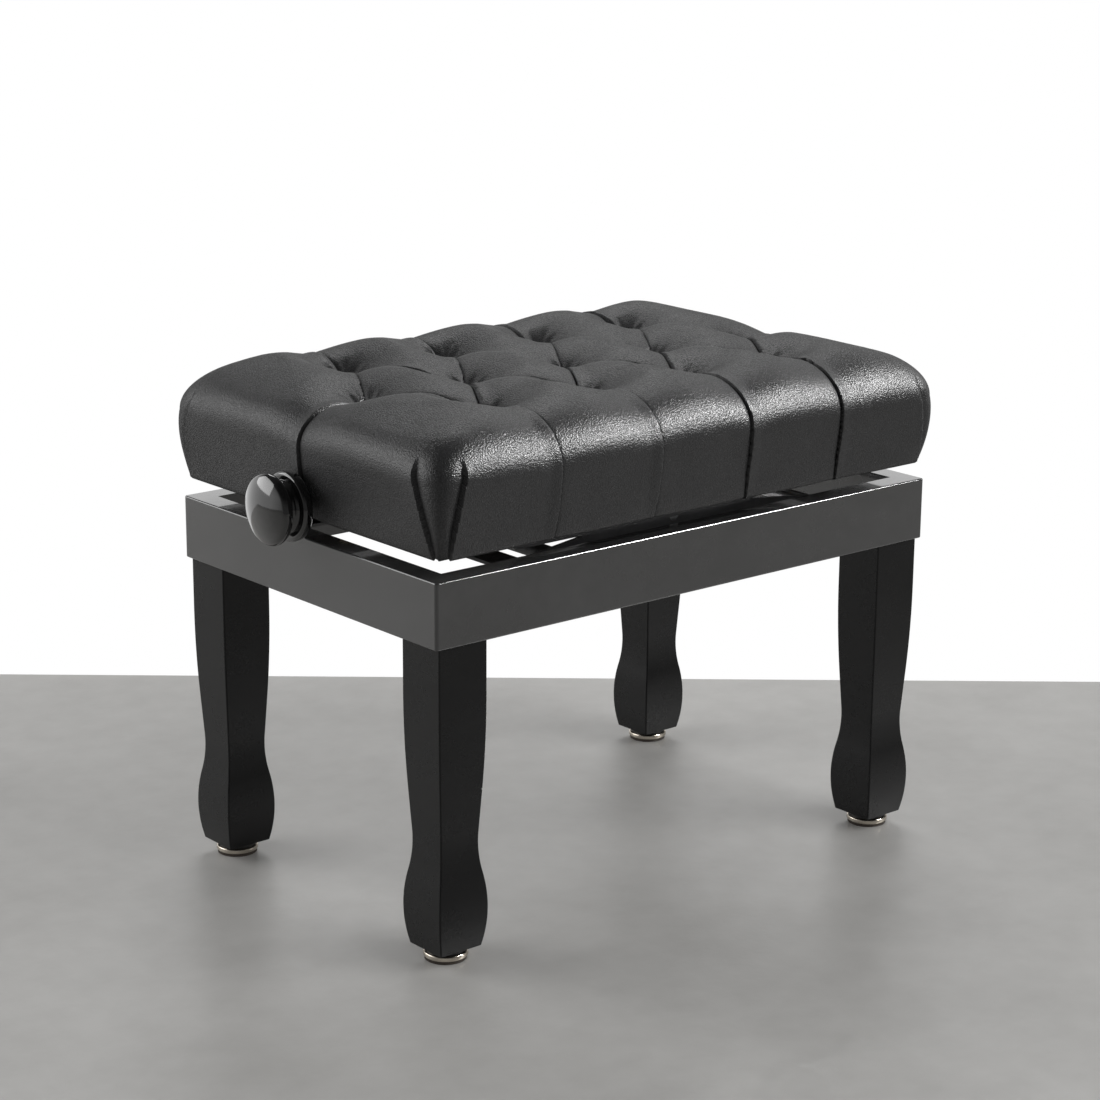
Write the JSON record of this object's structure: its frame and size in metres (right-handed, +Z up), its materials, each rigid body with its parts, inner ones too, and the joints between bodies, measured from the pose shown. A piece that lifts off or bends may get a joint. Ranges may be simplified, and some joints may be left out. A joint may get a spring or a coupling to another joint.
{
  "type": "piano bench",
  "caption": "Piano bench with shaped square legs, a lacquered apron, a diamond tufted leather seat and a screw driven scissor lift turned by knobs at its ends.",
  "frame": {"origin": "on the floor, under the middle of the bench", "axes": "+X along the length towards the right end, +Y from the long front side to the back, +Z up"},
  "size_m": [0.6696, 0.397, 0.4684],
  "materials": {
    "black_lacquer": "gloss",
    "stained_wood": "satin",
    "leather": "satin",
    "foam": "matte",
    "twine": "matte",
    "felt": "matte",
    "black_steel": "satin",
    "zinc_steel": "satin",
    "brass": "satin",
    "nickel": "polished",
    "black_plastic": "satin",
    "black_gloss": "gloss"
  },
  "bodies": {
    "base": {"apron_front_rail": "black_lacquer", "apron_back_rail": "black_lacquer", "apron_left_rail": "black_lacquer", "apron_right_rail": "black_lacquer", "corner_block_front_left": "stained_wood", "corner_block_front_right": "stained_wood", "corner_block_back_left": "stained_wood", "corner_block_back_right": "stained_wood", "leg_front_left": "black_lacquer", "leg_front_right": "black_lacquer", "leg_back_left": "black_lacquer", "leg_back_right": "black_lacquer", "leg_bolts": "zinc_steel", "leg_washers": "zinc_steel", "leg_nuts": "zinc_steel", "glide_pads": "felt", "glide_cups": "nickel", "glide_spacers": "black_plastic", "base_rail_front": "black_steel", "base_rail_back": "black_steel", "base_cross_bar_left": "black_steel", "base_cross_bar_right": "black_steel", "base_rail_screws": "zinc_steel", "lower_pivot_pins": "zinc_steel", "lower_pivot_spacers": "zinc_steel"},
    "outer_arms": {"outer_arm_front": "black_steel", "outer_arm_back": "black_steel", "outer_arm_tie": "black_steel", "centre_pivot_pins": "zinc_steel"},
    "inner_arms": {"inner_arm_front": "black_steel", "inner_arm_back": "black_steel", "lower_slide_rod": "zinc_steel"},
    "seat": {"top_rail_front": "black_steel", "top_rail_back": "black_steel", "top_rail_screws": "zinc_steel", "upper_pivot_pins": "zinc_steel", "upper_pivot_spacers": "zinc_steel", "screw_bush_left": "brass", "screw_bush_right": "brass", "seat_board": "stained_wood", "seat_skirt_front": "stained_wood", "seat_skirt_back": "stained_wood", "seat_skirt_left": "stained_wood", "seat_skirt_right": "stained_wood", "leather_cover": "leather", "foam_core": "foam", "tuft_ties": "twine"},
    "nut": {"nut_block": "brass", "nut_rods": "zinc_steel"},
    "screw": {"lead_screw": "zinc_steel", "thrust_collars": "zinc_steel", "knob_left": "black_gloss", "knob_right": "black_gloss", "knob_set_screws": "zinc_steel"}
  },
  "joints": [
    {"name": "lift", "type": "hinge", "parent": "base", "child": "outer_arms", "pos_m": [-0.19843, 0, 0.318], "axis": [0, -1, 0], "range_deg": [0, 14.84]},
    {"name": "scissor", "type": "hinge", "parent": "outer_arms", "child": "inner_arms", "pos_m": [0, 0, 0.343], "axis": [0, -1, 0], "range_deg": [-29.7, 0]},
    {"name": "seat_pivot", "type": "hinge", "parent": "inner_arms", "child": "seat", "pos_m": [-0.19843, 0, 0.368], "axis": [0, -1, 0], "range_deg": [0, 14.85]},
    {"name": "nut_pivot", "type": "hinge", "parent": "outer_arms", "child": "nut", "pos_m": [0.19843, 0, 0.368], "axis": [0, -1, 0], "range_deg": [-14.85, 0]},
    {"name": "knob_turn", "type": "hinge", "parent": "seat", "child": "screw", "pos_m": [0, 0, 0.368], "axis": [1, 0, 0], "range_deg": [0, 1564.2]}
  ],
  "couplings": [
    {"joint": "scissor", "follows": "lift", "ratio": -2},
    {"joint": "seat_pivot", "follows": "lift", "ratio": 1},
    {"joint": "nut_pivot", "follows": "lift", "ratio": -1},
    {"joint": "knob_turn", "follows": "lift", "ratio": 105.31}
  ]
}
